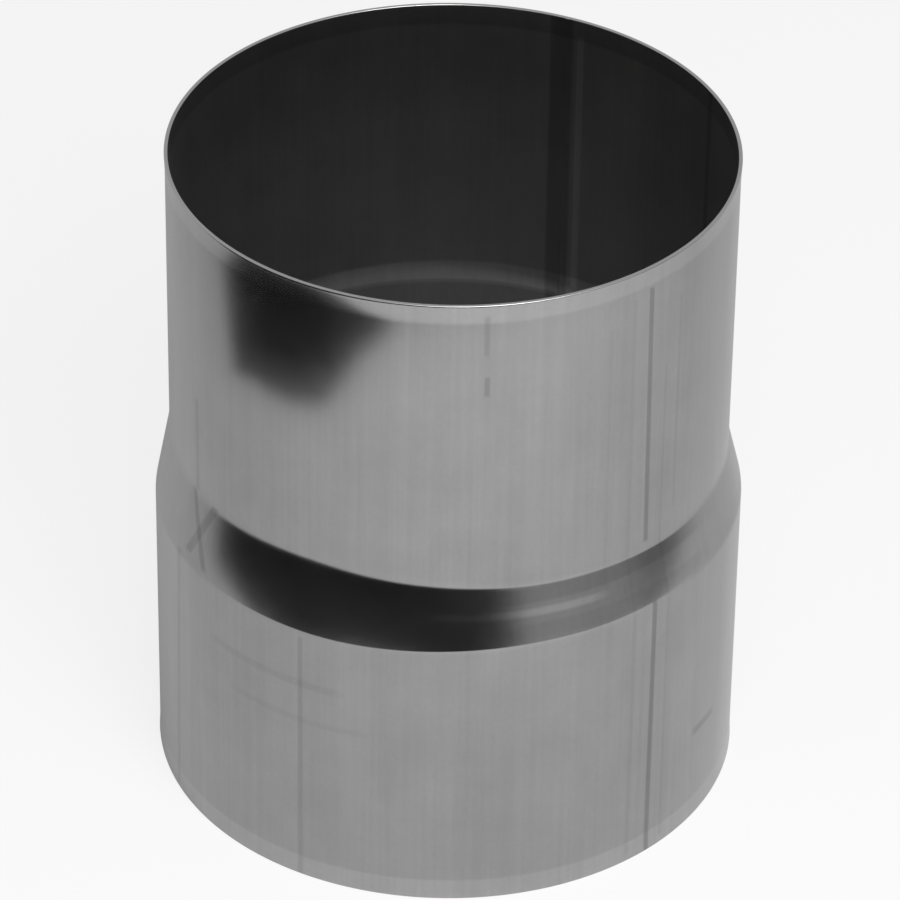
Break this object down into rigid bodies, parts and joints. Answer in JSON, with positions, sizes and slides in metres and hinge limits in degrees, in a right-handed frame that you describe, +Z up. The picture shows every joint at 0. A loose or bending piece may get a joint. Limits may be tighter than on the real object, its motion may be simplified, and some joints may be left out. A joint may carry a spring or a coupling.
{
  "type": "downpipe socket",
  "caption": "Short round sheet-metal joining tube for downpipes: a wide end that slips over a pipe, a swaged shoulder, and a narrow end that goes into the next pipe.",
  "frame": {"origin": "centre of the wide end's rim, on the surface that the socket stands on", "axes": "+Z up along the tube's axis, from the wide end to the narrow end; +Y away from the viewer of the picture; +X to the right"},
  "size_m": [0.1036, 0.1036, 0.1215],
  "materials": {
    "zinc_sheet": "bare bright-rolled zinc sheet, dulled by handling, with lengthwise draw lines and a few fine scratches"
  },
  "bodies": {
    "root": {"socket": "zinc_sheet"}
  },
  "joints": []
}
